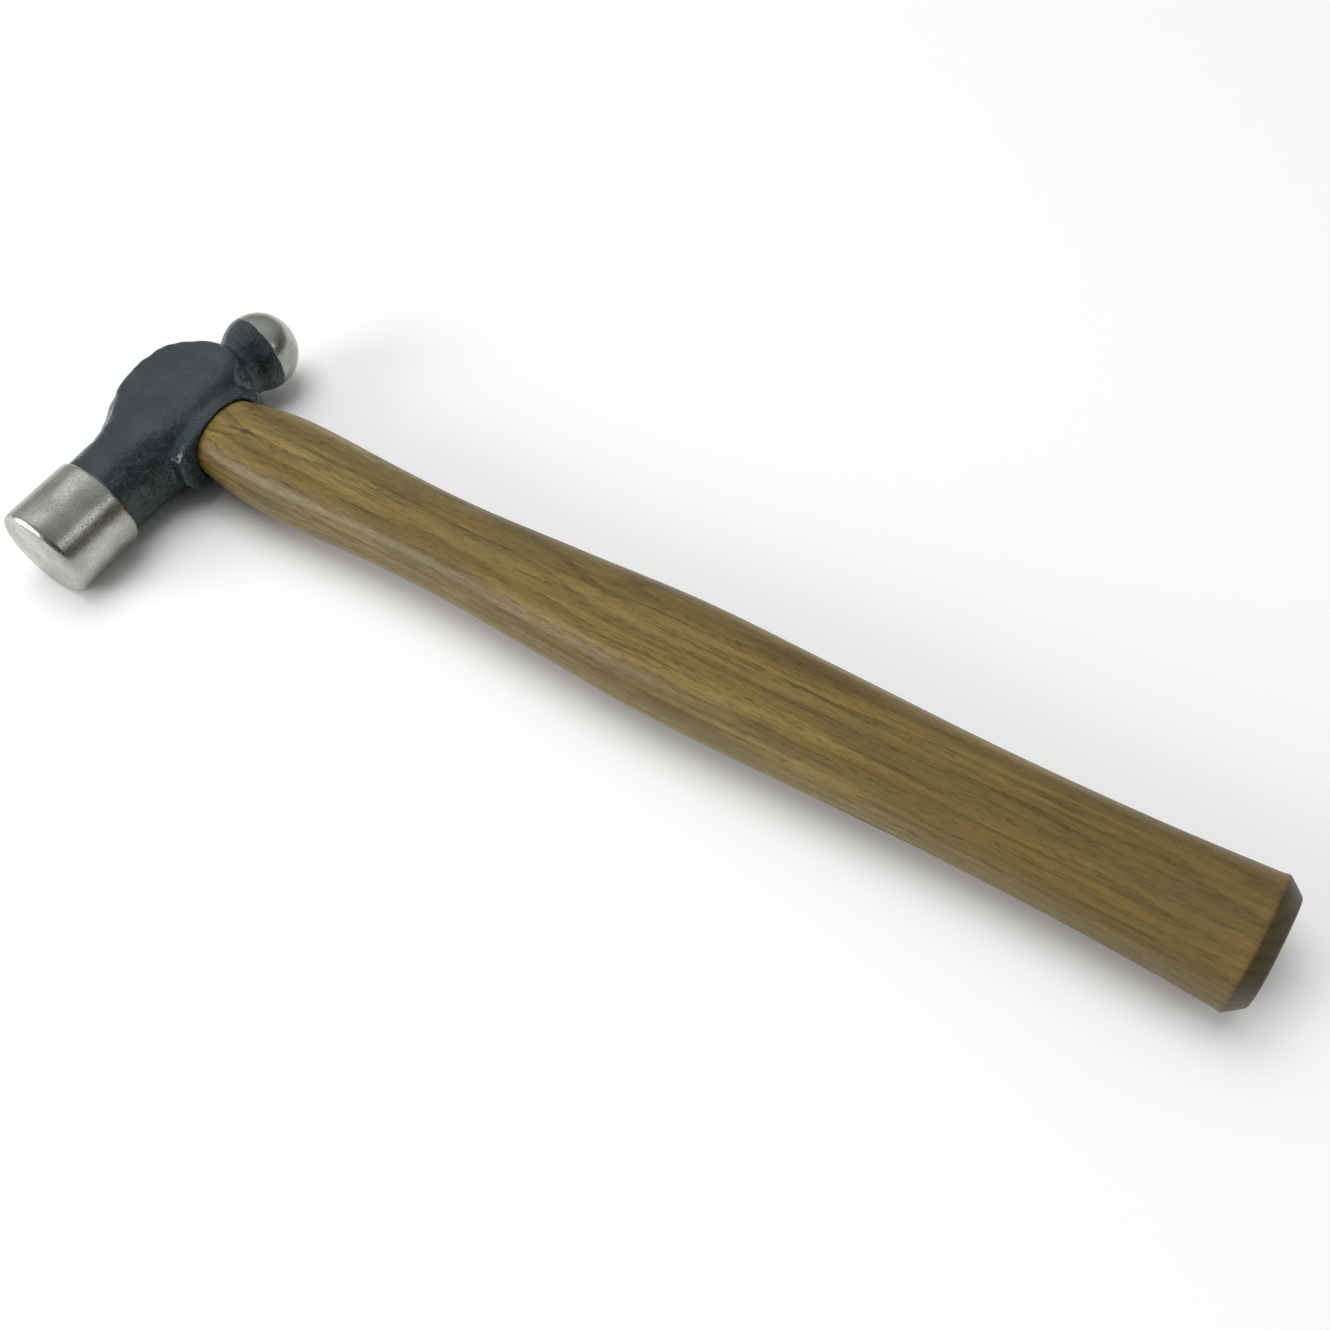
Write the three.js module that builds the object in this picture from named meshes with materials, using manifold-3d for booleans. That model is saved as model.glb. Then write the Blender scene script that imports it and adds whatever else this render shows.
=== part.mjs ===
// Ball pein hammer, 1 lb class: a forged steel head on a hickory handle, held by a wooden wedge and two
// steel wedges.
//
// Millimetres. The pieces are built around the middle of the eye, where the head's axis crosses the
// handle's: +X runs down the handle to its butt, +Y along the head to the ball, +Z out through a cheek.
// At the end the hammer is moved to lie on its side, with the origin on the ground under its middle.

import * as THREE from 'three';
import { LoftGeometry } from 'three/addons/geometries/LoftGeometry.js';
import { mergeVertices } from 'three/addons/utils/BufferGeometryUtils.js';
import Module from 'manifold-3d';

const wasm = await Module();
wasm.setup();

// ---------------------------------------------------------------- driving dimensions

const GAP = 0.3;                 // clearance left between pieces that touch

const FACE_Y = -62.5;            // striking face
const POLL_BACK_Y = -37.9;       // where the ground poll ends and the painted neck begins
const POLL_FRONT_RADIUS = 14.75;
const POLL_BACK_RADIUS = 14.6;
const FACE_CHAMFER = 1.5;
const POLL_BACK_CHAMFER = 0.7;

const NECK_RADIUS = 13.6;        // round neck behind the poll
const PEIN_NECK_RADIUS = 7.6;    // round neck behind the ball
const BODY_END_Y = 24;           // the body ends inside the ball's neck
const BALL_Y = 33;
const BALL_RADIUS = 12;
const BALL_FILLET = 3;           // hollow between the ball and its neck

const NECK_TAPER_START_Y = -12;  // the neck thins from the poll's side to the ball's over this stretch
const NECK_TAPER_END_Y = 18;
const FLOW_START_Y = -6;         // the fillets change from the poll's side to the ball's over this one
const FLOW_END_Y = 8;

const CHEEK_Z = 13;              // half the distance between the two flat cheeks
const CHEEK_RADIUS = 17.3;       // the cheeks bulge into a round disc over the eye
const CHEEK_X = -1.4;            // its middle
const CHEEK_Y = 4.7;
const CHEEK_EDGE = 4;            // rounding of the disc's edge
const CHEEK_CREASE = 1.4;        // rounding where the flat cheek cuts the rest of the body
const CHEEK_BLEND = 5.6;         // how the disc flows into the eye boss

const EYE_TOP_X = -19.5;         // upper end of the eye boss
const EYE_BOTTOM_X = 17.5;       // lower end of the eye boss, where the handle enters
const BOSS_Y = 0.9;              // the boss sits a little towards the ball
const BOSS_HALF_Y = 16.7;
const BOSS_HALF_Z = 11.7;
const BOSS_RIM = 4;              // rounding of the boss's upper rim
const EYE_TAPER = 14;            // how the body draws in towards the handle
const COLLAR_Y = -1;             // a lip round the handle's side of the eye
const COLLAR_HALF_Y = 18.4;
const COLLAR_HALF_Z = 10.6;
const COLLAR_DEPTH = 4.5;
const COLLAR_BLEND = 2;
const COLLAR_RIM = 1.3;
const POLL_SIDE_BLEND = 12.7;    // how far the body flows into the neck behind the poll
const PEIN_SIDE_BLEND = 7;       // and into the neck behind the ball

const EYE_WAIST_Y = 11.6;        // the eye is an hourglass, narrowest in the middle
const EYE_MOUTH_Y = 12.9;
const OVAL = 2.4;                // exponent of the oval sections: 2 is an ellipse
const FLATNESS = 0.78;           // thickness over width of the handle and of the eye

const BUTT_X = 330;
const BUTT_CHAMFER = 4.3;        // along the handle
const BUTT_CHAMFER_IN = 3.4;     // across it
const TENON_RECESS = 0.3;        // the tenon ends this far below the top of the boss

// The handle's outline below the head: distance from the eye, and half the width there.
const HANDLE_OUTLINE = [
  [18, 12.7],
  [25, 13.8],
  [36, 15.1],
  [50, 15.2],
  [76, 14.1],
  [104, 13.6],
  [140, 15],
  [178, 16.6],
  [220, 15.8],
  [260, 14.9],
  [298, 15.3],
  [330, 16.8],
];

const WOOD_WEDGE = { depth: 24, topThickness: 4.2, tipThickness: 1 };
const STEEL_WEDGE = { depth: 15, width: 12, topThickness: 2.4, tipThickness: 0.8, y: 5 };

const ROUND_SIDES = 44;          // sides of the turned and lofted shapes
const HEAD_STEPS = 26;           // sections along the body of the head
const HANDLE_STEPS = 26;

// ---------------------------------------------------------------- solids

function toSolid(geometry) {
  const bare = new THREE.BufferGeometry();
  bare.setAttribute('position', geometry.attributes.position);
  bare.setIndex(geometry.index);
  const merged = mergeVertices(bare, 1e-4);
  const corners = merged.index.array;
  const triangles = [];
  for (let i = 0; i < corners.length; i += 3) {
    const [a, b, c] = corners.slice(i, i + 3);
    if (a !== b && b !== c && c !== a) {
      triangles.push(a, b, c);
    }
  }
  return new wasm.Manifold(new wasm.Mesh({
    numProp: 3,
    vertProperties: new Float32Array(merged.attributes.position.array),
    triVerts: new Uint32Array(triangles),
  }));
}

function toGeometry(solid) {
  const mesh = solid.getMesh();
  const geometry = new THREE.BufferGeometry();
  geometry.setAttribute('position', new THREE.BufferAttribute(mesh.vertProperties, 3));
  geometry.setIndex(new THREE.BufferAttribute(mesh.triVerts, 1));
  geometry.computeVertexNormals();
  return geometry;
}

// A solid turned about the head's axis, from a profile of [radius, y] points that starts and ends on it.
function turned(profile) {
  const points = profile.map(([radius, y]) => new THREE.Vector2(radius, y));
  return toSolid(new THREE.LatheGeometry(points, ROUND_SIDES));
}

// A solid through closed sections that follow one another.
function lofted(sections) {
  return toSolid(new LoftGeometry(sections, { capStart: true, capEnd: true }));
}

// An oval section across the handle at x.
function ovalSection(x, halfY, halfZ) {
  const points = [];
  for (let i = 0; i < ROUND_SIDES; i += 1) {
    const angle = (2 * Math.PI * i) / ROUND_SIDES;
    const c = Math.cos(angle);
    const s = Math.sin(angle);
    const y = halfY * Math.sign(c) * Math.abs(c) ** (2 / OVAL);
    const z = halfZ * Math.sign(s) * Math.abs(s) ** (2 / OVAL);
    points.push(new THREE.Vector3(x, y, z));
  }
  return points;
}

// Half the width of the eye at x.
function eyeHalfY(x) {
  const middle = (EYE_TOP_X + EYE_BOTTOM_X) / 2;
  const fromMiddle = (x - middle) / (EYE_BOTTOM_X - middle);
  return EYE_WAIST_Y + (EYE_MOUTH_Y - EYE_WAIST_Y) * fromMiddle ** 2;
}

// The oval plug that fills the eye from one x to another, smaller all round by a clearance.
function eyePlugSections(fromX, toX, clearance) {
  const steps = 10;
  const sections = [];
  for (let i = 0; i <= steps; i += 1) {
    const x = THREE.MathUtils.lerp(fromX, toX, i / steps);
    const halfY = eyeHalfY(x);
    sections.push(ovalSection(x, halfY - clearance, halfY * FLATNESS - clearance));
  }
  return sections;
}

// ---------------------------------------------------------------- head

// The smaller of two distances, with a fillet of about the given radius where they cross.
function blend(a, b, radius) {
  const h = Math.max(radius - Math.abs(a - b), 0) / radius;
  return Math.min(a, b) - (h * h * radius) / 4;
}

// The larger of two distances, with the edge where they cross rounded off.
function round(a, b, radius) {
  return -blend(-a, -b, radius);
}

// How far out a point lies on an oval of half width 1: 1 on the oval itself.
function ovalDistance(a, b) {
  return (Math.abs(a) ** OVAL + Math.abs(b) ** OVAL) ** (1 / OVAL);
}

// Distance from a point to the forged body between the poll and the ball: below 0 inside.
function bodyDistance(x, y, z) {
  const neckRadius = THREE.MathUtils.lerp(
    NECK_RADIUS,
    PEIN_NECK_RADIUS,
    THREE.MathUtils.smoothstep(y, NECK_TAPER_START_Y, NECK_TAPER_END_Y),
  );
  const neck = Math.hypot(x, z) - neckRadius;
  const cheek = Math.abs(z) - CHEEK_Z;
  const lowerEnd = x - EYE_BOTTOM_X;

  const across = Math.hypot((y - BOSS_Y) / BOSS_HALF_Y, z / BOSS_HALF_Z);
  const boss = (across - 1) * BOSS_HALF_Z;
  const rim = Math.hypot(x - CHEEK_X, y - CHEEK_Y) - CHEEK_RADIUS;
  const disc = round(rim, cheek, CHEEK_EDGE);

  const flow = THREE.MathUtils.lerp(
    POLL_SIDE_BLEND,
    PEIN_SIDE_BLEND,
    THREE.MathUtils.smoothstep(y, FLOW_START_Y, FLOW_END_Y),
  );
  let body = blend(neck, blend(boss, disc, CHEEK_BLEND), flow);
  body = round(round(body, EYE_TOP_X - x, BOSS_RIM), cheek, CHEEK_CREASE);

  const collarAcross = ovalDistance((y - COLLAR_Y) / COLLAR_HALF_Y, z / COLLAR_HALF_Z);
  const collar = round((collarAcross - 1) * COLLAR_HALF_Z, -lowerEnd - COLLAR_DEPTH, COLLAR_BLEND);
  body = blend(round(body, lowerEnd, EYE_TAPER), collar, COLLAR_BLEND);
  return round(body, lowerEnd, COLLAR_RIM);
}

// How far the body reaches from the head's axis at y, in the direction of the angle from +Z to +X.
function bodyRadius(y, angle) {
  let inside = 0;
  let outside = 40;
  for (let i = 0; i < 30; i += 1) {
    const middle = (inside + outside) / 2;
    if (bodyDistance(middle * Math.sin(angle), y, middle * Math.cos(angle)) < 0) {
      inside = middle;
    } else {
      outside = middle;
    }
  }
  return inside;
}

function makeBody() {
  const sections = [];
  for (let i = 0; i <= HEAD_STEPS; i += 1) {
    const y = THREE.MathUtils.lerp(POLL_BACK_Y - 2, BODY_END_Y, i / HEAD_STEPS);
    const points = [];
    for (let j = 0; j < ROUND_SIDES; j += 1) {
      const angle = (2 * Math.PI * j) / ROUND_SIDES;
      const radius = bodyRadius(y, angle);
      points.push(new THREE.Vector3(radius * Math.sin(angle), y, radius * Math.cos(angle)));
    }
    sections.push(points);
  }
  return lofted(sections);
}

function makePoll() {
  return turned([
    [0, FACE_Y],
    [POLL_FRONT_RADIUS - FACE_CHAMFER, FACE_Y],
    [POLL_FRONT_RADIUS, FACE_Y + FACE_CHAMFER],
    [POLL_BACK_RADIUS, POLL_BACK_Y - POLL_BACK_CHAMFER],
    [POLL_BACK_RADIUS - POLL_BACK_CHAMFER, POLL_BACK_Y],
    [0, POLL_BACK_Y],
  ]);
}

// The ball and its neck, with a hollow fillet that touches both.
function makeBall() {
  const filletRadius = PEIN_NECK_RADIUS + BALL_FILLET;
  const filletY = BALL_Y - Math.sqrt((BALL_RADIUS + BALL_FILLET) ** 2 - filletRadius ** 2);
  const ballAngle = Math.atan2(filletRadius, filletY - BALL_Y);
  const profile = [[0, BODY_END_Y - 6], [PEIN_NECK_RADIUS, BODY_END_Y - 6]];
  const filletSteps = 5;
  for (let i = 0; i <= filletSteps; i += 1) {
    const angle = THREE.MathUtils.lerp(Math.PI / 2, ballAngle, i / filletSteps);
    const radius = filletRadius - BALL_FILLET * Math.sin(angle);
    profile.push([radius, filletY - BALL_FILLET * Math.cos(angle)]);
  }
  const ballSteps = 16;
  for (let i = 1; i <= ballSteps; i += 1) {
    const angle = THREE.MathUtils.lerp(ballAngle, 0, i / ballSteps);
    profile.push([BALL_RADIUS * Math.sin(angle), BALL_Y + BALL_RADIUS * Math.cos(angle)]);
  }
  return turned(profile);
}

function makeHead() {
  const eye = lofted(eyePlugSections(EYE_TOP_X - 2, EYE_BOTTOM_X + 2, 0));
  const head = makePoll().add(makeBody()).add(makeBall());
  return head.subtract(eye);
}

// ---------------------------------------------------------------- wedges

// A wedge driven into the top of the tenon: its thickness runs along Y or Z and its width along the other.
function wedgeSolid({ depth, topThickness, tipThickness }, width, thicknessAxis, y, clearance) {
  const top = EYE_TOP_X + TENON_RECESS - (clearance > 0 ? 2 : 0);
  const tip = EYE_TOP_X + TENON_RECESS + depth + clearance;
  const taper = (topThickness - tipThickness) / depth;
  const halfTop = (topThickness + taper * (EYE_TOP_X + TENON_RECESS - top)) / 2 + clearance;
  const halfTip = tipThickness / 2 + clearance;
  const outline = new THREE.Shape([
    new THREE.Vector2(top, -halfTop),
    new THREE.Vector2(tip, -halfTip),
    new THREE.Vector2(tip, halfTip),
    new THREE.Vector2(top, halfTop),
  ]);
  const fullWidth = width + 2 * clearance;
  const geometry = new THREE.ExtrudeGeometry(outline, { depth: fullWidth, bevelEnabled: false });
  geometry.translate(0, 0, -fullWidth / 2);
  if (thicknessAxis === 'z') {
    geometry.rotateX(Math.PI / 2);
  }
  geometry.translate(0, y, 0);
  return toSolid(geometry);
}

function steelWedge(y, clearance) {
  return wedgeSolid(STEEL_WEDGE, STEEL_WEDGE.width, 'y', y, clearance);
}

// The wooden wedge runs across the whole tenon, so its ends follow the wall of the eye.
function makeWoodenWedge() {
  const wedge = wedgeSolid(WOOD_WEDGE, 2 * EYE_MOUTH_Y, 'z', 0, 0);
  const tenonTop = EYE_TOP_X + TENON_RECESS;
  const tenon = lofted(eyePlugSections(tenonTop, EYE_BOTTOM_X, GAP));
  return wedge
    .intersect(tenon)
    .subtract(steelWedge(-STEEL_WEDGE.y, GAP))
    .subtract(steelWedge(STEEL_WEDGE.y, GAP));
}

// ---------------------------------------------------------------- handle

function makeHandle() {
  const sections = eyePlugSections(EYE_TOP_X + TENON_RECESS, EYE_BOTTOM_X - 2, GAP);
  const outline = new THREE.SplineCurve(HANDLE_OUTLINE.map(([x, halfY]) => new THREE.Vector2(x, halfY)));
  for (const point of outline.getPoints(HANDLE_STEPS)) {
    if (point.x < BUTT_X - BUTT_CHAMFER) {
      sections.push(ovalSection(point.x, point.y, point.y * FLATNESS));
    }
  }
  const buttHalfY = HANDLE_OUTLINE.at(-1)[1];
  const buttHalfZ = buttHalfY * FLATNESS;
  sections.push(ovalSection(BUTT_X - BUTT_CHAMFER, buttHalfY, buttHalfZ));
  sections.push(ovalSection(BUTT_X, buttHalfY - BUTT_CHAMFER_IN, buttHalfZ - BUTT_CHAMFER_IN));
  return lofted(sections)
    .subtract(wedgeSolid(WOOD_WEDGE, 2 * BOSS_HALF_Y, 'z', 0, GAP))
    .subtract(steelWedge(-STEEL_WEDGE.y, GAP))
    .subtract(steelWedge(STEEL_WEDGE.y, GAP));
}

// ---------------------------------------------------------------- hammer

const paintedSteel = new THREE.MeshStandardMaterial({ color: 0x3a4347, roughness: 0.4, metalness: 0.3 });
const bareSteel = new THREE.MeshStandardMaterial({ color: 0xa9aca8, roughness: 0.35, metalness: 1 });
const hickory = new THREE.MeshStandardMaterial({ color: 0x8f7a4e, roughness: 0.55, metalness: 0 });
const wedgeWood = new THREE.MeshStandardMaterial({ color: 0xb39a6a, roughness: 0.7, metalness: 0 });

function piece(name, solid, material) {
  const mesh = new THREE.Mesh(toGeometry(solid), material);
  mesh.name = name;
  return mesh;
}

const hammer = new THREE.Group();
hammer.add(
  piece('head', makeHead(), paintedSteel),
  piece('handle', makeHandle(), hickory),
  piece('wooden_wedge', makeWoodenWedge(), wedgeWood),
  piece('steel_wedge_poll_side', steelWedge(-STEEL_WEDGE.y, 0), bareSteel),
  piece('steel_wedge_ball_side', steelWedge(STEEL_WEDGE.y, 0), bareSteel),
);

// Laid on its side: the poll's underside is the lowest point of all.
hammer.position.set(
  -(EYE_TOP_X + BUTT_X) / 2,
  -(FACE_Y + BALL_Y + BALL_RADIUS) / 2,
  POLL_FRONT_RADIUS,
);

export default hammer;
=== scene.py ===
"""Ball pein hammer lying on its side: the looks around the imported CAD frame.

Blender objects are in metres, in the row frame. Shapes are worked out in millimetres around the middle of
the eye, where the head's axis crosses the handle's: +X runs down the handle to its butt, +Y along the head
to the ball, +Z out through the upper cheek.
"""
import math

import bpy
import numpy as np
from mathutils import Matrix, Vector


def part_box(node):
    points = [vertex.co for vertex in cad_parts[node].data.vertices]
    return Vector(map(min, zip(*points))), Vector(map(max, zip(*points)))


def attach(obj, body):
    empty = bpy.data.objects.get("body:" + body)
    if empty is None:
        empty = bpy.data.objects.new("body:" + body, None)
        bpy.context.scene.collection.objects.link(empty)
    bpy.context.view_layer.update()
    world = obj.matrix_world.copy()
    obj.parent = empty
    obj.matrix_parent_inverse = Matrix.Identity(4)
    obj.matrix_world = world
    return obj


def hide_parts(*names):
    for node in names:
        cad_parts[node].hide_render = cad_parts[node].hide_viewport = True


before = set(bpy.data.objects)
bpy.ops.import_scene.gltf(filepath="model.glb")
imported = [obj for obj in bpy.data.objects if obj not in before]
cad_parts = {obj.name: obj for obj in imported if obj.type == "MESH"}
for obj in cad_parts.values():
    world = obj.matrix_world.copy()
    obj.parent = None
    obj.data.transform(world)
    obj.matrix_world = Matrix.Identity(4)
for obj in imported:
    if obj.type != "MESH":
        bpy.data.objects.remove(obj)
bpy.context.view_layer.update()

MM = 0.001

# ---------------------------------------------------------------- dimensions, in millimetres

GAP = 0.3                    # clearance between pieces that touch

FACE_Y = -62.5               # striking face
FACE_CROWN = 0.35            # how far the face's edge falls behind its middle
FACE_CHAMFER = 1.5
POLL_BACK_Y = -37.9
POLL_FRONT_RADIUS = 14.75
POLL_BACK_RADIUS = 14.6
POLL_BACK_CHAMFER = 0.7
MACHINED_EDGE = 0.35         # rounding left on the ground edges

NECK_RADIUS = 13.6           # behind the poll
PEIN_NECK_RADIUS = 7.6       # behind the ball
NECK_TAPER_Y = (-12, 18)
FLOW_Y = (-6, 8)             # the fillets change from the poll's side to the ball's over this stretch
POLL_SIDE_BLEND = 12.7       # how far the body flows into the neck behind the poll
PEIN_SIDE_BLEND = 7          # and into the neck behind the ball
BALL_Y = 33
BALL_RADIUS = 12
BALL_BLEND = 3               # hollow between the ball and its neck
BODY_OVERLAP = 2             # the body runs this far into the poll

CHEEK_Z = 13                 # half the distance between the two flat cheeks
CHEEK_RADIUS = 17.3          # the cheeks bulge into a round disc over the eye
CHEEK_X = -1.4               # the disc's middle
CHEEK_Y = 4.7
CHEEK_EDGE = 4               # rounding of the disc's edge
CHEEK_BLEND = 5.6            # how the disc flows into the eye boss
CHEEK_CREASE = 1.4           # rounding where the flat cheek cuts the rest of the body

EYE_TOP_X = -19.5            # upper end of the eye boss
EYE_BOTTOM_X = 17.5          # lower end, where the handle enters
BOSS_Y = 0.9                 # the boss sits a little towards the ball
BOSS_HALF_Y = 16.7
BOSS_HALF_Z = 11.7
EYE_TAPER = 14               # how the body draws in towards the handle
COLLAR_Y = -1                # a lip round the handle's side of the eye
COLLAR_HALF_Y = 18.4
COLLAR_HALF_Z = 10.6
COLLAR_DEPTH = 4.5
COLLAR_BLEND = 2
COLLAR_RIM = 1.3
BOSS_RIM = 4                 # rounding of the boss's upper rim
EYE_WAIST_Y = 11.6           # the eye is an hourglass, narrowest in the middle
EYE_MOUTH_Y = 12.9
EYE_LIP = 0.7                # rounding of the eye's two mouths
OVAL = 2.4                   # exponent of the oval sections: 2 is an ellipse
FLATNESS = 0.78              # thickness over width of the handle and of the eye

BUTT_X = 330
BUTT_CHAMFER = 4.3           # along the handle
BUTT_CHAMFER_IN = 3.4        # across it
TENON_RECESS = 0.3           # the tenon ends this far below the top of the boss
HANDLE_OUTLINE = [           # distance from the eye, and half the width there
    (18, 12.7),
    (25, 13.8),
    (36, 15.1),
    (50, 15.2),
    (76, 14.1),
    (104, 13.6),
    (140, 15.0),
    (178, 16.6),
    (220, 15.8),
    (260, 14.9),
    (298, 15.3),
    (330, 16.8),
]

WOOD_WEDGE_DEPTH = 24
WOOD_WEDGE_TOP = 4.2
WOOD_WEDGE_TIP = 1.0
STEEL_WEDGE_DEPTH = 15
STEEL_WEDGE_WIDTH = 12
STEEL_WEDGE_TOP = 2.4
STEEL_WEDGE_TIP = 0.8
STEEL_WEDGE_Y = 5

TENON_SHORT = 2              # the tenon ends this far inside the eye, and the outline takes over
CUTTER_OVERRUN = 2           # a cutter stands this far out of the tenon's top

HEAD_CELL = 0.5      # size of the head's faces
HEAD_MARGIN = 1.2            # space left round the head when it is meshed
HANDLE_SIDES = 128
STATION_STEPS = 12           # sections of the handle from one station of its outline to the next

LUMP_SIZE = 6                # the forged skin's hills: how far apart they are, and how high
LUMP_HEIGHT = 0.12
RIPPLE_SIZE = 2.4            # and the finer ones on top of them
RIPPLE_HEIGHT = 0.04
CHEEK_LUMPS = 0.3            # share of the hills that is left on the flat cheeks

# The middle of the eye in the row frame, in metres.
EYE = Vector((
    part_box("handle")[1].x - BUTT_X * MM,
    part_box("head")[0].y - FACE_Y * MM,
    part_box("head")[0].z + POLL_FRONT_RADIUS * MM,
))


# ---------------------------------------------------------------- mesh helpers

def new_object(name, points, faces):
    """A smooth-shaded mesh object from points in millimetres around the eye."""
    mesh = bpy.data.meshes.new(name)
    placed = np.asarray(points, float) * MM + np.array(EYE)
    mesh.from_pydata(placed.tolist(), [], [list(map(int, face)) for face in faces])
    mesh.validate()
    mesh.shade_smooth()
    piece = bpy.data.objects.new(name, mesh)
    bpy.context.scene.collection.objects.link(piece)
    return piece


def loft(name, sections):
    """A closed solid through rings of points that all have the same length."""
    points = [point for section in sections for point in section]
    count = len(sections[0])
    faces = []
    for ring in range(len(sections) - 1):
        start = ring * count
        for i in range(count):
            j = (i + 1) % count
            faces.append((start + i, start + j, start + count + j, start + count + i))
    faces.append(tuple(reversed(range(count))))
    faces.append(tuple(range(len(points) - count, len(points))))
    return new_object(name, points, faces)


def apply_modifiers(piece):
    depsgraph = bpy.context.evaluated_depsgraph_get()
    mesh = bpy.data.meshes.new_from_object(piece.evaluated_get(depsgraph))
    piece.modifiers.clear()
    piece.data = mesh


def cut(piece, cutters):
    """Takes each cutter out of the piece and deletes it."""
    for cutter in cutters:
        boolean = piece.modifiers.new("cut", "BOOLEAN")
        boolean.operation = "DIFFERENCE"
        boolean.solver = "EXACT"
        boolean.object = cutter
    apply_modifiers(piece)
    for cutter in cutters:
        bpy.data.objects.remove(cutter)


def soften(piece, width, angle=35, segments=2):
    """Rounds off the piece's sharp edges."""
    bevel = piece.modifiers.new("soften", "BEVEL")
    bevel.width = width * MM
    bevel.segments = segments
    bevel.limit_method = "ANGLE"
    bevel.angle_limit = math.radians(angle)
    apply_modifiers(piece)


def add_piece(piece, node, material):
    """Gives the piece its material, hangs it under the root and hides the CAD node that it stands for."""
    piece.data.materials.clear()
    piece.data.materials.append(material)
    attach(piece, "root")
    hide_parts(node)


# ---------------------------------------------------------------- distance fields, below 0 inside

def blend(a, b, radius):
    """The smaller of two distances, with a fillet where they cross."""
    h = np.maximum(radius - np.abs(a - b), 0) / radius
    return np.minimum(a, b) - h * h * radius / 4


def rounded(a, b, radius):
    """The larger of two distances, with the edge where they cross rounded off."""
    return -blend(-a, -b, radius)


def smoothstep(value, start, end):
    t = np.clip((value - start) / (end - start), 0, 1)
    return t * t * (3 - 2 * t)


def lerp(a, b, t):
    return a + (b - a) * t


def eye_half_width(x):
    """Half the width of the eye, which is widest at its two mouths."""
    middle = (EYE_TOP_X + EYE_BOTTOM_X) / 2
    return lerp(EYE_WAIST_Y, EYE_MOUTH_Y, ((x - middle) / (EYE_BOTTOM_X - middle)) ** 2)


def eye_field(x, y, z):
    """The hole for the handle."""
    half = eye_half_width(x)
    across = (np.abs(y / half) ** OVAL + np.abs(z / (half * FLATNESS)) ** OVAL) ** (1 / OVAL)
    return (across - 1) * half * FLATNESS


def body_field(x, y, z):
    """The forging between the poll and the ball."""
    neck_radius = lerp(NECK_RADIUS, PEIN_NECK_RADIUS, smoothstep(y, *NECK_TAPER_Y))
    neck = np.hypot(x, z) - neck_radius
    cheek = np.abs(z) - CHEEK_Z
    lower_end = x - EYE_BOTTOM_X
    boss = (np.hypot((y - BOSS_Y) / BOSS_HALF_Y, z / BOSS_HALF_Z) - 1) * BOSS_HALF_Z
    disc = rounded(np.hypot(x - CHEEK_X, y - CHEEK_Y) - CHEEK_RADIUS, cheek, CHEEK_EDGE)
    flow = lerp(POLL_SIDE_BLEND, PEIN_SIDE_BLEND, smoothstep(y, *FLOW_Y))
    body = blend(neck, blend(boss, disc, CHEEK_BLEND), flow)
    body = rounded(rounded(body, EYE_TOP_X - x, BOSS_RIM), cheek, CHEEK_CREASE)
    across = np.abs((y - COLLAR_Y) / COLLAR_HALF_Y) ** OVAL + np.abs(z / COLLAR_HALF_Z) ** OVAL
    collar = rounded((across ** (1 / OVAL) - 1) * COLLAR_HALF_Z, -lower_end - COLLAR_DEPTH, COLLAR_BLEND)
    body = blend(rounded(body, lower_end, EYE_TAPER), collar, COLLAR_BLEND)
    body = rounded(body, lower_end, COLLAR_RIM)
    poll_end = POLL_BACK_Y - BODY_OVERLAP - y
    ball_end = y - BALL_Y
    return np.maximum(np.maximum(body, poll_end), ball_end)


def poll_field(x, y, z):
    """The ground poll: a slightly crowned face, and a chamfer at both ends."""
    radius = np.hypot(x, z)
    along = (y - FACE_Y) / (POLL_BACK_Y - FACE_Y)
    side = radius - lerp(POLL_FRONT_RADIUS, POLL_BACK_RADIUS, along)
    front = FACE_Y + FACE_CROWN * (radius / POLL_FRONT_RADIUS) ** 2 - y
    front_chamfer = (side + FACE_Y + FACE_CHAMFER - y) / math.sqrt(2)
    back = y - POLL_BACK_Y
    back_chamfer = (side + back + POLL_BACK_CHAMFER) / math.sqrt(2)
    poll = rounded(rounded(side, front_chamfer, MACHINED_EDGE), front, MACHINED_EDGE)
    return rounded(rounded(poll, back_chamfer, MACHINED_EDGE), back, MACHINED_EDGE)


def head_field(x, y, z):
    """The whole head: the forging with its ball and poll, less the eye."""
    ball = np.sqrt(x * x + (y - BALL_Y) ** 2 + z * z) - BALL_RADIUS
    forging = blend(body_field(x, y, z), ball, BALL_BLEND)
    head = blend(forging, poll_field(x, y, z), MACHINED_EDGE)
    return rounded(head, -eye_field(x, y, z), EYE_LIP)


def gradient(field, points, step=0.02):
    """The direction in which the field grows fastest at each point, and how fast."""
    columns = []
    for axis in range(3):
        offset = np.zeros(3)
        offset[axis] = step
        ahead = field(*(points + offset).T)
        behind = field(*(points - offset).T)
        columns.append((ahead - behind) / (2 * step))
    return np.stack(columns, 1)


def onto_surface(field, points, rounds=3, least_steepness=0.05):
    """Moves the points along the field's slope to where it is 0."""
    for _ in range(rounds):
        slope = gradient(field, points)
        steepness = np.maximum((slope * slope).sum(1), least_steepness)
        points = points - slope * (field(*points.T) / steepness)[:, None]
    return points


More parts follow.
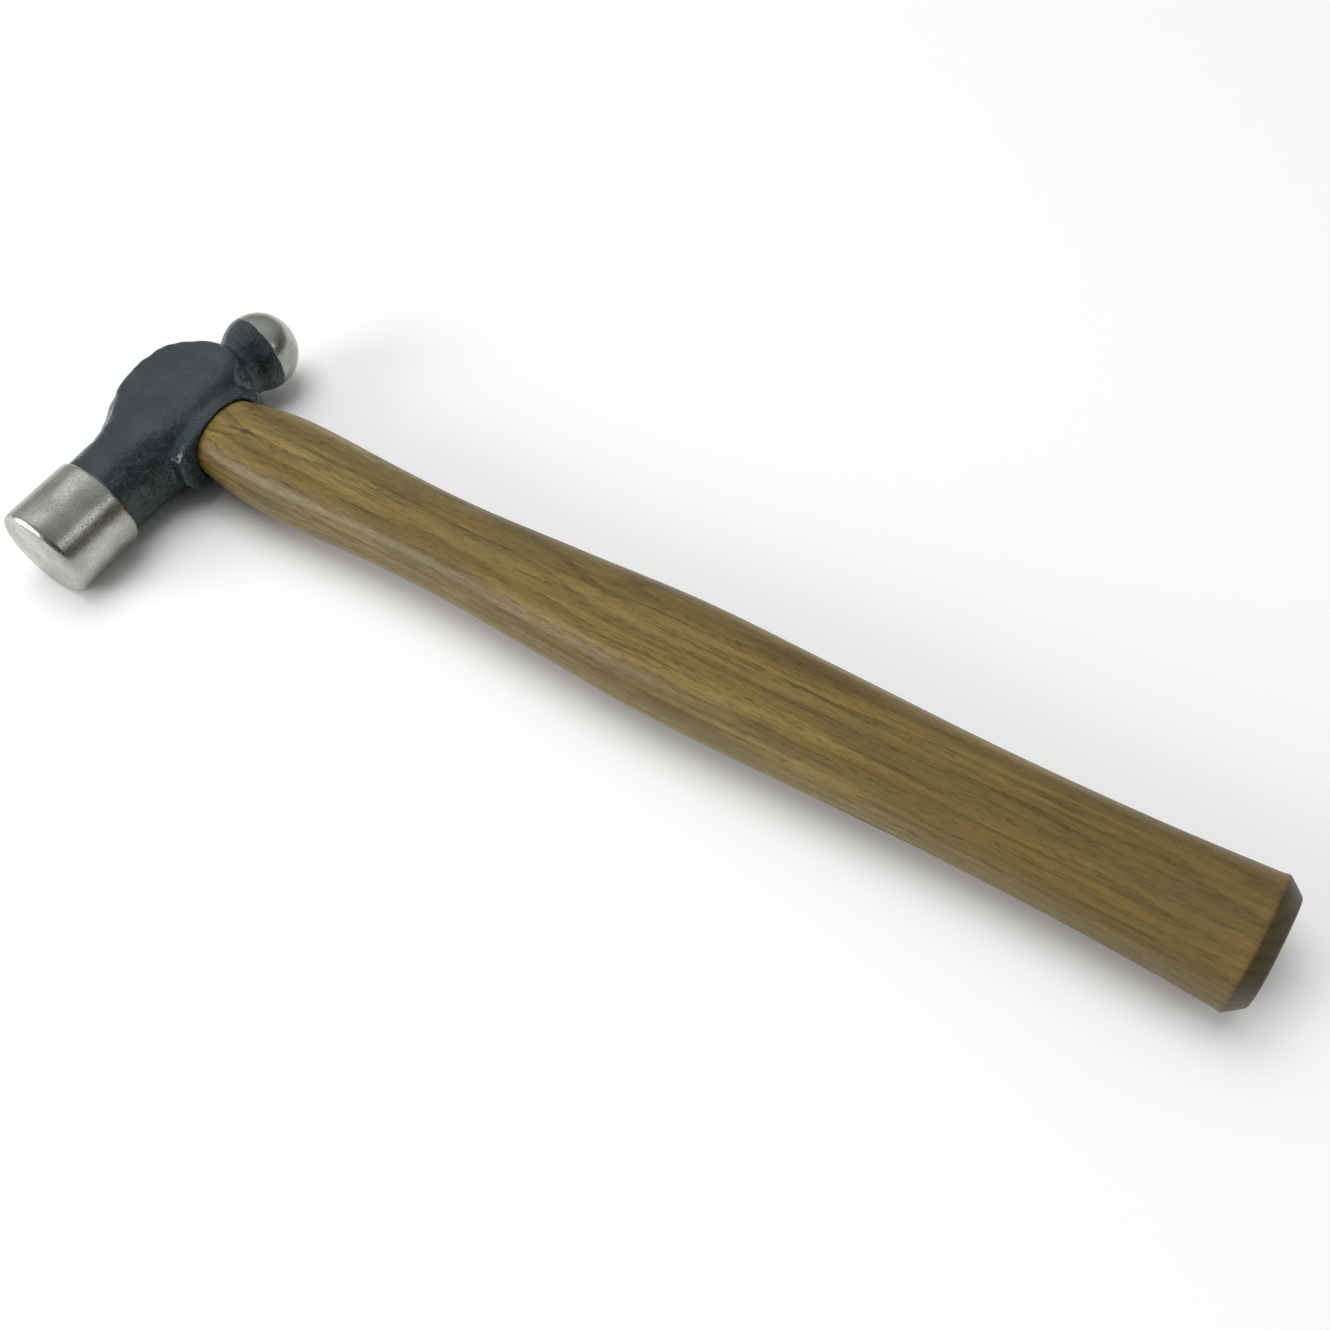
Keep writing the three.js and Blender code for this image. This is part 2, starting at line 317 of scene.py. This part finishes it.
def surface_net(field, low, high, cell):
    """A closed mesh of quads on the surface where the field is 0: one vertex in each cell it crosses."""
    axes = [np.arange(low[k], high[k] + cell, cell) for k in range(3)]
    inside = field(*np.meshgrid(*axes, indexing="ij")) < 0
    corners = sum(
        inside[i:i - 1 or None, j:j - 1 or None, k:k - 1 or None].astype(np.int8)
        for i in (0, 1) for j in (0, 1) for k in (0, 1)
    )
    crossed = (corners > 0) & (corners < 8)
    number = np.full(crossed.shape, -1)
    number[crossed] = np.arange(crossed.sum())
    points = np.argwhere(crossed) * cell + np.asarray(low) + cell / 2

    quads = []
    for axis in range(3):
        u = (axis + 1) % 3
        v = (axis + 2) % 3
        near = np.moveaxis(inside, (axis, u, v), (0, 1, 2))
        cells = np.moveaxis(number, (axis, u, v), (0, 1, 2))
        here = near[:-1, 1:-1, 1:-1]
        beyond = near[1:, 1:-1, 1:-1]
        around = np.stack((
            cells[:, :-1, :-1],
            cells[:, 1:, :-1],
            cells[:, 1:, 1:],
            cells[:, :-1, 1:],
        ), -1)
        quads.append(around[here & ~beyond])
        quads.append(around[~here & beyond][:, ::-1])
    return points, np.concatenate(quads)


def relaxed(field, points, quads, rounds=6, share=0.6):
    """Evens out the quads: each round moves a vertex a share of the way to the middle of its neighbours."""
    starts = quads.ravel()
    ends = np.roll(quads, -1, 1).ravel()
    count = np.bincount(starts, minlength=len(points)) + np.bincount(ends, minlength=len(points))
    for _ in range(rounds):
        total = np.zeros_like(points)
        for axis in range(3):
            total[:, axis] += np.bincount(starts, points[ends, axis], len(points))
            total[:, axis] += np.bincount(ends, points[starts, axis], len(points))
        points = onto_surface(field, lerp(points, total / count[:, None], share), 1)
    return onto_surface(field, points, 2)


# ---------------------------------------------------------------- head

def lumps(points, wavelength, seed, waves=14):
    """Smooth random hills and hollows, about a wavelength apart and mostly less than 1 high."""
    random = np.random.default_rng(seed)
    height = np.zeros(len(points))
    for _ in range(waves):
        direction = random.normal(size=3)
        direction /= np.linalg.norm(direction)
        turns = points @ direction / (wavelength * random.uniform(0.7, 1.4))
        height += np.sin(2 * math.pi * (turns + random.uniform()))
    return height / math.sqrt(waves)


def make_head():
    low = np.array((EYE_TOP_X, FACE_Y, -POLL_FRONT_RADIUS)) - HEAD_MARGIN
    high = np.array((EYE_BOTTOM_X, BALL_Y + BALL_RADIUS, POLL_FRONT_RADIUS)) + HEAD_MARGIN
    points, quads = surface_net(head_field, low, high, HEAD_CELL)
    points = relaxed(head_field, onto_surface(head_field, points), quads)

    # The forged skin is a little lumpy, less so on the cheeks. The ground ends and the eye are true.
    slope = gradient(head_field, points)
    normal = slope / np.linalg.norm(slope, axis=1, keepdims=True)
    y = points[:, 1]
    behind_poll = smoothstep(y, POLL_BACK_Y, POLL_BACK_Y + 4)
    before_ball = 1 - smoothstep(y, BALL_Y - 7, BALL_Y - 2)
    off_cheeks = lerp(1, CHEEK_LUMPS, np.abs(normal[:, 2]) ** 6)
    off_eye = np.clip(eye_field(*points.T) / 1.5, 0, 1)
    height = LUMP_HEIGHT * lumps(points, LUMP_SIZE, seed=3)
    height += RIPPLE_HEIGHT * lumps(points, RIPPLE_SIZE, seed=4)
    height *= behind_poll * before_ball * off_cheeks * off_eye
    return new_object("hammer_head", points + normal * height[:, None], quads)


# ---------------------------------------------------------------- handle

def oval(x, half_y, half_z):
    """An oval ring of points across the handle at x."""
    angle = np.arange(HANDLE_SIDES) * 2 * math.pi / HANDLE_SIDES
    c = np.cos(angle)
    s = np.sin(angle)
    y = half_y * np.sign(c) * np.abs(c) ** (2 / OVAL)
    z = half_z * np.sign(s) * np.abs(s) ** (2 / OVAL)
    return np.stack((np.full(HANDLE_SIDES, x), y, z), 1)


def outline_point(t):
    """A point of the handle's outline, on a Catmull-Rom curve through its stations."""
    last = len(HANDLE_OUTLINE) - 1
    i = min(int(t), last - 1)
    f = t - i
    around = [min(max(i + k, 0), last) for k in (-1, 0, 1, 2)]
    a, b, c, d = (np.array(HANDLE_OUTLINE[k], float) for k in around)
    squared = (2 * a - 5 * b + 4 * c - d) * f ** 2
    cubed = (3 * b - a - 3 * c + d) * f ** 3
    return 0.5 * (2 * b + (c - a) * f + squared + cubed)


def tenon_sections(to_x, steps=24):
    """The part of the handle that fills the eye but for the gap."""
    sections = []
    for x in np.linspace(EYE_TOP_X + TENON_RECESS, to_x, steps):
        half = eye_half_width(x)
        sections.append(oval(x, half - GAP, half * FLATNESS - GAP))
    return sections


def butt_sections():
    """The chamfer at the butt, with both its edges rounded, and rings that lead into the flat end."""
    edge = 0.12              # rounding of the outer edge, as a share of the chamfer
    rim = 0.12               # rounding of the inner edge, in millimetres along the handle
    places = []              # each ring's x, and how far in it is as a share of the chamfer's inset
    for along in (0, edge, 0.5, 1 - edge):
        places.append((BUTT_X - BUTT_CHAMFER * (1 - along), max(along - edge / 3, 0)))
    places.append((BUTT_X - rim, 0.98))
    for inward in (1.06, 1.6, 2.6):
        places.append((BUTT_X, inward))

    half_y = HANDLE_OUTLINE[-1][1]
    sections = []
    for x, inward in places:
        inset = inward * BUTT_CHAMFER_IN
        sections.append(oval(x, half_y - inset, half_y * FLATNESS - inset))
    return sections


def make_handle():
    chamfer_start = BUTT_X - BUTT_CHAMFER
    least_spacing = 0.5
    sections = tenon_sections(EYE_BOTTOM_X - TENON_SHORT)
    for step in range((len(HANDLE_OUTLINE) - 1) * STATION_STEPS):
        x, half = outline_point(step / STATION_STEPS)
        if x < chamfer_start - least_spacing:
            sections.append(oval(x, half, half * FLATNESS))
    sections += butt_sections()
    handle = loft("hickory_handle", sections)
    cut(handle, [wedge_block("kerf", "z", 2 * BOSS_HALF_Y, 0, GAP), *steel_wedge_slots()])
    return handle


# ---------------------------------------------------------------- wedges

def wedge_block(name, thickness_axis, width, y, clearance=0):
    """A wedge driven into the tenon's top, or with a clearance the cutter for its slot.

    Its thickness runs along z for the wooden wedge and along y for a steel one.
    """
    wooden = thickness_axis == "z"
    depth = WOOD_WEDGE_DEPTH if wooden else STEEL_WEDGE_DEPTH
    top = WOOD_WEDGE_TOP if wooden else STEEL_WEDGE_TOP
    tip = WOOD_WEDGE_TIP if wooden else STEEL_WEDGE_TIP
    taper = (top - tip) / depth
    overrun = CUTTER_OVERRUN if clearance else 0
    start = EYE_TOP_X + TENON_RECESS - overrun
    end = EYE_TOP_X + TENON_RECESS + depth + clearance
    sections = []
    for x, thick in ((start, top + taper * overrun), (end, tip)):
        half_thick = thick / 2 + clearance
        half_wide = width / 2 + clearance
        half_y, half_z = (half_wide, half_thick) if wooden else (half_thick, half_wide)
        corners = ((-1, -1), (1, -1), (1, 1), (-1, 1))
        sections.append([(x, y + a * half_y, b * half_z) for a, b in corners])
    return loft(name, sections)


def steel_wedge_slots():
    """Cutters for the two slots that the steel wedges are driven into."""
    return [
        wedge_block("slot", "y", STEEL_WEDGE_WIDTH, side * STEEL_WEDGE_Y, GAP)
        for side in (-1, 1)
    ]


def make_wooden_wedge():
    clear_of_eye = 0.1
    wedge = wedge_block("ash_wedge", "z", 2 * (EYE_WAIST_Y - GAP) - clear_of_eye, 0)
    soften(wedge, 0.15)
    cut(wedge, steel_wedge_slots())
    return wedge


def make_steel_wedge(name, side):
    wedge = wedge_block(name, "y", STEEL_WEDGE_WIDTH, side * STEEL_WEDGE_Y)
    soften(wedge, 0.25)
    return wedge


# ---------------------------------------------------------------- materials

class Nodes:
    """Shorthand for building one material's node tree."""

    def __init__(self, name):
        self.material = bpy.data.materials.new(name)
        self.material.use_nodes = True
        self.tree = self.material.node_tree
        self.tree.nodes.clear()
        output = self.tree.nodes.new("ShaderNodeOutputMaterial")
        self.shader = self.tree.nodes.new("ShaderNodeBsdfPrincipled")
        self.link(self.shader.outputs["BSDF"], output.inputs["Surface"])
        self.place = self.tree.nodes.new("ShaderNodeTexCoord").outputs["Object"]

    def link(self, source, socket):
        self.tree.links.new(source, socket)

    def feed(self, socket, value):
        """Sets a socket to a number or colour, or links it to another node's output."""
        if isinstance(value, bpy.types.NodeSocket):
            self.link(value, socket)
        else:
            socket.default_value = value

    def set(self, **values):
        """Sets the shader's own sockets."""
        for name, value in values.items():
            self.feed(self.shader.inputs[name.replace("_", " ")], value)

    def math(self, operation, *values):
        node = self.tree.nodes.new("ShaderNodeMath")
        node.operation = operation
        for socket, value in zip(node.inputs, values):
            self.feed(socket, value)
        return node.outputs[0]

    def invert(self, value):
        return self.math("SUBTRACT", 1.0, value)

    def length(self, a, b):
        """Length of the vector (a, b)."""
        squares = self.math("ADD", self.math("POWER", a, 2.0), self.math("POWER", b, 2.0))
        return self.math("SQRT", squares)

    def ramp(self, value, low, high, out_low=0.0, out_high=1.0):
        """Maps low..high smoothly to out_low..out_high."""
        node = self.tree.nodes.new("ShaderNodeMapRange")
        node.interpolation_type = "SMOOTHSTEP"
        for socket, number in zip(node.inputs, (value, low, high, out_low, out_high)):
            self.feed(socket, number)
        return node.outputs[0]

    def mix(self, factor, a, b):
        """Goes from colour a to colour b as the factor goes from 0 to 1."""
        node = self.tree.nodes.new("ShaderNodeMix")
        node.data_type = "RGBA"
        self.feed(node.inputs["Factor"], factor)
        colours = [socket for socket in node.inputs if socket.type == "RGBA"]
        self.feed(colours[0], a)
        self.feed(colours[1], b)
        return next(socket for socket in node.outputs if socket.type == "RGBA")

    def place_in_mm(self, stretch=(1, 1, 1)):
        """Millimetres around the eye, divided along each axis by its stretch."""
        moved = self.tree.nodes.new("ShaderNodeVectorMath")
        moved.operation = "SUBTRACT"
        self.link(self.place, moved.inputs[0])
        moved.inputs[1].default_value = EYE
        node = self.tree.nodes.new("ShaderNodeMapping")
        self.link(moved.outputs[0], node.inputs["Vector"])
        node.inputs["Scale"].default_value = [1 / (MM * factor) for factor in stretch]
        return node.outputs[0]

    def axes(self):
        """Outputs x, y and z in millimetres around the eye."""
        node = self.tree.nodes.new("ShaderNodeSeparateXYZ")
        self.link(self.place_in_mm(), node.inputs[0])
        return node.outputs

    def noise(self, size, detail=2.0, stretch=(1, 1, 1), warp=0.0, roughness=0.5):
        """Cloudy noise from 0 to 1, its clouds about size millimetres across."""
        node = self.tree.nodes.new("ShaderNodeTexNoise")
        self.link(self.place_in_mm([size * factor for factor in stretch]), node.inputs["Vector"])
        node.inputs["Scale"].default_value = 1.0
        node.inputs["Detail"].default_value = detail
        node.inputs["Roughness"].default_value = roughness
        node.inputs["Distortion"].default_value = warp
        return node.outputs["Factor" if "Factor" in node.outputs else "Fac"]

    def cells(self, size):
        """Distance to the nearest of many scattered points, about size millimetres apart."""
        node = self.tree.nodes.new("ShaderNodeTexVoronoi")
        self.link(self.place_in_mm((size, size, size)), node.inputs["Vector"])
        node.inputs["Scale"].default_value = 1.0
        return node.outputs["Distance"]

    def bump(self, *layers):
        """Stacks bumps, each a height from 0 to 1 and how many millimetres that is."""
        normal = None
        for height, depth in layers:
            node = self.tree.nodes.new("ShaderNodeBump")
            self.link(height, node.inputs["Height"])
            node.inputs["Distance"].default_value = depth * MM
            if normal is not None:
                self.link(normal, node.inputs["Normal"])
            normal = node.outputs["Normal"]
        self.link(normal, self.shader.inputs["Normal"])


def rgb(red, green, blue):
    """A colour from its screen values, 0 to 255."""
    linear = []
    for value in (red / 255, green / 255, blue / 255):
        linear.append(((value + 0.055) / 1.055) ** 2.4 if value > 0.04045 else value / 12.92)
    return (*linear, 1.0)


PAINT = rgb(26, 38, 42)
PAINT_DUSTY = rgb(40, 52, 55)
# pale grey of the painted glints, highlights set into the paint's colour on the rough skin
PAINT_GLINT = rgb(120, 124, 122)
STEEL = rgb(192, 194, 189)
STEEL_DULL = rgb(162, 163, 157)
STEEL_BRUSHED = rgb(132, 131, 124)
STEEL_GRAIN = rgb(118, 117, 110)
BALL_LINE_Y = 32.2           # where the ball's ground front begins
BALL_LINE_WIDTH = 0.5        # the paint gives way to steel over this much


def head_material():
    """Blue-grey paint on the forging, ground steel on the poll and the ball."""
    n = Nodes("painted_and_ground_steel")
    x, y, z = n.axes()

    # Ground steel in front of the poll's back edge, and past a slanted line on the ball.
    wobble = n.math("MULTIPLY", n.math("SUBTRACT", n.noise(5, 3), 0.5), 0.9)
    slant = n.math("ADD", n.math("MULTIPLY", x, 0.13), n.math("MULTIPLY", z, -0.05))
    past_ball_line = n.math("ADD", n.math("ADD", y, slant), wobble)
    on_ball = n.ramp(past_ball_line, BALL_LINE_Y, BALL_LINE_Y + BALL_LINE_WIDTH)
    on_poll = n.ramp(y, POLL_BACK_Y + 0.35, POLL_BACK_Y + 0.05)
    bare = n.math("MAXIMUM", on_ball, on_poll)
    painted = n.invert(bare)

    # Paint: smooth and dusty on top of the cheeks, speckled with painted glints where the forging is rough.
    clouds = n.noise(14, 3)
    cheek = n.ramp(n.math("ABSOLUTE", z), CHEEK_Z - 1.5, CHEEK_Z - 0.2)
    rough_skin = n.math("MULTIPLY", n.ramp(n.noise(9, 2), 0.36, 0.58), n.ramp(cheek, 0, 1, 1, 0.25))
    # painted highlight: pale specks on the rough skin stand in for the glints of light on it
    specks = n.math("MULTIPLY", n.ramp(n.cells(0.75), 0.2, 0.08), n.ramp(n.noise(2.2, 2), 0.45, 0.6))
    painted_glints = n.math("MULTIPLY", specks, rough_skin)
    paint = n.mix(n.ramp(clouds, 0.35, 0.7), PAINT, PAINT_DUSTY)
    paint = n.mix(n.math("MULTIPLY", painted_glints, 0.45), paint, PAINT_GLINT)

    # Steel: fine grain from the linishing belt, faint lines round the axis, and soft blotches.
    blotches = n.noise(8, 3, stretch=(1, 1.4, 1))
    brushed = n.noise(0.3, 3, stretch=(8, 1, 8))
    grain = n.noise(0.45, 4, roughness=0.7)
    steel = n.mix(n.ramp(blotches, 0.35, 0.68), STEEL, STEEL_DULL)
    steel = n.mix(n.ramp(brushed, 0.45, 0.7, 0, 0.25), steel, STEEL_BRUSHED)
    steel = n.mix(n.ramp(grain, 0.45, 0.65, 0, 0.4), steel, STEEL_GRAIN)

    paint_roughness = n.ramp(n.noise(3, 4), 0.3, 0.7, 0.2, 0.34)
    steel_roughness = n.ramp(grain, 0.35, 0.65, 0.2, 0.36)
    roughness = n.math(
        "ADD",
        n.math("MULTIPLY", bare, steel_roughness),
        n.math("MULTIPLY", painted, paint_roughness),
    )
    n.set(Base_Color=n.mix(bare, paint, steel), Metallic=bare, Roughness=roughness)
    n.shader.inputs["Specular IOR Level"].default_value = 0.5

    orange_peel = n.math("MULTIPLY", n.noise(1.5, 3), painted)
    pits = n.math("MULTIPLY", n.ramp(n.cells(1.0), 0.0, 0.45), n.math("MULTIPLY", painted, rough_skin))
    n.bump(
        (orange_peel, 0.22),
        (pits, 0.26),
        (n.math("MULTIPLY", grain, bare), 0.02),
        (n.math("MULTIPLY", n.noise(4, 2), bare), 0.05),
    )
    return n.material


WOOD_LIGHT = rgb(142, 124, 68)
WOOD = rgb(108, 90, 42)
WOOD_DARK = rgb(70, 50, 20)
WOOD_WARM = rgb(118, 96, 46)
WOOD_GREY = rgb(96, 84, 48)
WOOD_RING = rgb(88, 67, 28)
WOOD_FIBRE = rgb(86, 66, 28)
WOOD_PORE = rgb(52, 38, 16)
WOOD_KNOT = rgb(66, 40, 12)
WOOD_NEAR_BUTT = rgb(88, 71, 34)
CHAMFER_WOOD = rgb(64, 55, 28)
CHAMFER_RING = rgb(42, 34, 16)
END_WOOD = rgb(112, 84, 62)
END_RING = rgb(62, 44, 30)
END_PORE = rgb(52, 38, 26)
DARKENS_FROM_X = 150                 # from here to the butt the wood is darker
PITH = (-38, -64)            # y and z of the tree's middle, which the growth rings go round
RING_WIDTH = 2.7
KNOT = (31, -2)              # x and y of a pin knot on the upper side
KNOT_HALF_LENGTH = 2.2
KNOT_HALF_WIDTH = 1.3


def hickory_material():
    """Lacquered hickory, its grain along the handle."""
    n = Nodes("lacquered_hickory")
    x, y, z = n.axes()

    # Growth rings: dark porous lines where the rings come to the surface.
    wander = n.math("MULTIPLY", n.noise(20, 3, stretch=(5, 1, 1)), 9.0)
    from_pith = n.length(n.math("SUBTRACT", y, PITH[0]), n.math("SUBTRACT", z, PITH[1]))
    ring = n.math("FRACT", n.math("DIVIDE", n.math("ADD", from_pith, wander), RING_WIDTH))
    ring_line = n.math("MULTIPLY", n.ramp(ring, 0.45, 0.9), n.ramp(ring, 1.0, 0.93))
    ring_depth = n.ramp(n.noise(13, 3, stretch=(5, 1, 1)), 0.36, 0.64, 0.1, 0.65)

    streaks = n.noise(1.1, 4, stretch=(34, 1, 1.5), warp=0.3)
    fibres = n.noise(0.32, 4, stretch=(16, 1, 1), roughness=0.6)
    pore_cells = n.noise(0.42, 2, stretch=(9, 1, 1))
    pores = n.math("MULTIPLY", n.ramp(pore_cells, 0.56, 0.66), n.ramp(ring, 0.2, 0.8, 0.35, 1))
    mottle = n.noise(15, 4, stretch=(2.5, 1, 1))
    bands = n.noise(5, 3, stretch=(22, 1, 1), warp=0.4)
    tint = n.noise(34, 2, stretch=(3, 1, 1))

    wood = n.mix(n.ramp(bands, 0.38, 0.62), WOOD, WOOD_LIGHT)
    wood = n.mix(n.ramp(tint, 0.4, 0.62, 0, 0.5), wood, WOOD_WARM)
    wood = n.mix(n.math("MULTIPLY", ring_line, ring_depth), wood, WOOD_RING)
    wood = n.mix(n.ramp(streaks, 0.5, 0.72, 0, 0.75), wood, WOOD_DARK)
    wood = n.mix(n.ramp(mottle, 0.46, 0.7, 0, 0.45), wood, WOOD_GREY)
    wood = n.mix(n.ramp(fibres, 0.42, 0.68, 0, 0.5), wood, WOOD_FIBRE)
    wood = n.mix(n.math("MULTIPLY", pores, 0.42), wood, WOOD_PORE)

    # A pin knot and the dark streak that runs from it.
    swerve = n.math("MULTIPLY", n.noise(6, 2), 2.0)
    across_knot = n.math("SUBTRACT", n.math("ADD", y, swerve), KNOT[1] + 1.0)
    along_knot = n.math("SUBTRACT", x, KNOT[0])
    to_knot = n.length(
        n.math("DIVIDE", along_knot, KNOT_HALF_LENGTH),
        n.math("DIVIDE", across_knot, KNOT_HALF_WIDTH),
    )
    streak = n.math(
        "MULTIPLY",
        n.ramp(n.math("ABSOLUTE", across_knot), 0.6, 0.1),
        n.ramp(n.math("ABSOLUTE", n.math("SUBTRACT", x, KNOT[0] + 4)), 15, 8),
    )
    knot = n.math("MAXIMUM", n.ramp(to_knot, 1.3, 0.3), n.math("MULTIPLY", streak, 0.7))
    knot = n.math("MULTIPLY", knot, n.ramp(z, 0, 4))
    wood = n.mix(n.math("MULTIPLY", knot, 0.7), wood, WOOD_KNOT)

    # The handle darkens towards the butt, and the sawn end is dark and reddish.
    towards_butt = n.ramp(x, DARKENS_FROM_X, BUTT_X, 0, 0.45)
    wood = n.mix(towards_butt, wood, WOOD_NEAR_BUTT)
    chamfer_start = BUTT_X - BUTT_CHAMFER
    on_chamfer = n.ramp(x, chamfer_start - 0.4, chamfer_start + 0.5)
    chamfer_colour = n.mix(n.math("MULTIPLY", ring_line, 0.5), CHAMFER_WOOD, CHAMFER_RING)
    wood = n.mix(n.math("MULTIPLY", on_chamfer, 0.85), wood, chamfer_colour)
    on_end = n.ramp(x, BUTT_X - 0.3, BUTT_X - 0.1)
    end_colour = n.mix(n.math("MULTIPLY", ring_line, 0.6), END_WOOD, END_RING)
    end_colour = n.mix(n.ramp(n.noise(0.8, 3), 0.45, 0.62, 0, 0.6), end_colour, END_PORE)
    wood = n.mix(on_end, wood, end_colour)

    n.set(Base_Color=wood, Roughness=n.ramp(fibres, 0.3, 0.7, 0.36, 0.56))
    n.shader.inputs["Specular IOR Level"].default_value = 0.2
    n.shader.inputs["Coat Weight"].default_value = 0.32
    n.shader.inputs["Coat Roughness"].default_value = 0.4
    n.bump(
        (n.invert(pores), 0.09),
        (fibres, 0.07),
        (streaks, 0.08),
        (n.noise(16, 2, stretch=(2, 1, 1)), 0.25),
    )
    return n.material


def wedge_wood_material():
    """Sawn hardwood, its fibres along the wedge."""
    n = Nodes("sawn_hardwood")
    fibres = n.noise(0.35, 4, stretch=(20, 1, 1))
    bands = n.noise(1.8, 3, stretch=(12, 1, 1))
    wood = n.mix(n.ramp(bands, 0.35, 0.65), rgb(176, 148, 104), rgb(150, 120, 76))
    wood = n.mix(n.ramp(fibres, 0.45, 0.7, 0, 0.6), wood, rgb(110, 84, 50))
    n.set(Base_Color=wood, Roughness=n.ramp(fibres, 0.3, 0.7, 0.55, 0.75))
    n.bump((fibres, 0.08))
    return n.material


def wedge_steel_material():
    """Mild steel with hammer marks and a little rust in them."""
    n = Nodes("driven_steel")
    blotches = n.noise(2.5, 4)
    scratches = n.noise(0.2, 3, stretch=(1, 12, 3))
    rust = n.ramp(n.noise(1.4, 5), 0.55, 0.7)
    steel = n.mix(n.ramp(blotches, 0.35, 0.65), rgb(150, 149, 144), rgb(112, 111, 107))
    steel = n.mix(n.math("MULTIPLY", rust, 0.7), steel, rgb(104, 68, 44))
    n.set(Base_Color=steel, Roughness=n.ramp(scratches, 0.3, 0.7, 0.32, 0.55))
    n.set(Metallic=n.invert(n.math("MULTIPLY", rust, 0.8)))
    n.bump((blotches, 0.12), (scratches, 0.03))
    return n.material


# ---------------------------------------------------------------- the hammer

add_piece(make_head(), "head", head_material())
add_piece(make_handle(), "handle", hickory_material())
add_piece(make_wooden_wedge(), "wooden_wedge", wedge_wood_material())
steel_of_wedges = wedge_steel_material()
for side, where in ((-1, "poll_side"), (1, "ball_side")):
    wedge = make_steel_wedge(f"driven_wedge_{where}", side)
    add_piece(wedge, f"steel_wedge_{where}", steel_of_wedges)


# ---------------------------------------------------------------- floor, light and camera

BRIGHT_SIDE = (-0.4, 0.25, 0.75)             # the room's light comes mostly from here
ROOM_DARKEST = 0.07
ROOM_BRIGHTEST = 0.72
BACKDROP = 0.92                              # what the camera sees past the floor
CAMERA_FROM_EYE = (305.2, -163.6, 292.5)     # in millimetres
CAMERA_RIGHT = (0.8139, 0.5695, -0.1154)
CAMERA_UP = (-0.4263, 0.7202, 0.5474)


def make_floor():
    """A white sheet, wider than the picture at the camera's angle."""
    half = 6.0
    corners = [(a * half, b * half, 0) for a, b in ((-1, -1), (1, -1), (1, 1), (-1, 1))]
    mesh = bpy.data.meshes.new("floor")
    mesh.from_pydata(corners, [], [(0, 1, 2, 3)])
    floor = bpy.data.objects.new("floor", mesh)
    bpy.context.scene.collection.objects.link(floor)
    material = bpy.data.materials.new("white_sheet")
    material.use_nodes = True
    shader = material.node_tree.nodes["Principled BSDF"]
    shader.inputs["Base Color"].default_value = (0.9, 0.9, 0.9, 1)
    shader.inputs["Roughness"].default_value = 0.8
    floor.data.materials.append(material)


def add_area(name, direction, distance, size, radiance, glossy=True):
    """A soft box that looks at the hammer from the given direction; radiance 1 is display white."""
    light = bpy.data.lights.new(name, "AREA")
    light.shape = "RECTANGLE"
    light.size, light.size_y = size
    light.energy = radiance * math.pi * light.size * light.size_y
    lamp = bpy.data.objects.new(name, light)
    bpy.context.scene.collection.objects.link(lamp)
    towards = Vector(direction).normalized()
    lamp.location = towards * distance
    lamp.rotation_euler = towards.to_track_quat("Z", "Y").to_euler()
    lamp.visible_glossy = glossy


def light_scene():
    """A dim room, a low key light, and a fill from above that isn't mirrored.

    The room gives light that grows towards one side, and only the camera sees it as a white backdrop.
    """
    world = bpy.data.worlds.new("studio")
    world.use_nodes = True
    tree = world.node_tree
    place = tree.nodes.new("ShaderNodeTexCoord")
    facing = tree.nodes.new("ShaderNodeVectorMath")
    facing.operation = "DOT_PRODUCT"
    facing.inputs[1].default_value = BRIGHT_SIDE
    strength = tree.nodes.new("ShaderNodeMapRange")
    tree.links.new(place.outputs["Generated"], facing.inputs[0])
    tree.links.new(facing.outputs["Value"], strength.inputs["Value"])
    strength.inputs["To Min"].default_value = ROOM_DARKEST
    strength.inputs["To Max"].default_value = ROOM_BRIGHTEST
    room = tree.nodes["Background"]
    room.inputs["Color"].default_value = (1, 1, 1, 1)
    tree.links.new(strength.outputs[0], room.inputs["Strength"])
    backdrop = tree.nodes.new("ShaderNodeBackground")
    backdrop.inputs["Color"].default_value = (1, 1, 1, 1)
    backdrop.inputs["Strength"].default_value = BACKDROP
    seen = tree.nodes.new("ShaderNodeLightPath")
    both = tree.nodes.new("ShaderNodeMixShader")
    tree.links.new(seen.outputs["Is Camera Ray"], both.inputs[0])
    tree.links.new(room.outputs[0], both.inputs[1])
    tree.links.new(backdrop.outputs[0], both.inputs[2])
    tree.links.new(both.outputs[0], tree.nodes["World Output"].inputs["Surface"])
    bpy.context.scene.world = world
    add_area("fill", (-0.2, 0.1, 1), 2.5, (2.0, 2.0), 2.9, glossy=False)
    add_area("overhead", (-0.5, 0.26, 0.83), 1.6, (0.5, 1.2), 0.5)
    add_area("key", (-0.6, -0.72, 0.35), 1.6, (1.1, 0.7), 7.0)
    add_area("front", (0.8, 0.2, 0.57), 1.8, (0.9, 0.5), 1.3)


def place_camera():
    """The photographer's viewpoint: above the hammer, near the butt on the striking face's side."""
    right = Vector(CAMERA_RIGHT)
    up = Vector(CAMERA_UP)
    back = right.cross(up)
    camera = bpy.data.cameras.new("camera")
    camera.sensor_width = 36
    camera.lens = 37.77
    camera.shift_x = 0.0602
    camera.shift_y = 0.0301
    camera.clip_start = 0.01
    holder = bpy.data.objects.new("camera", camera)
    bpy.context.scene.collection.objects.link(holder)
    axes = Matrix((right, up, back)).transposed().to_4x4()
    holder.matrix_world = Matrix.Translation(EYE + Vector(CAMERA_FROM_EYE) * MM) @ axes
    bpy.context.scene.camera = holder


make_floor()
light_scene()
place_camera()
bpy.context.scene.view_settings.view_transform = "Standard"

bpy.context.view_layer.update()
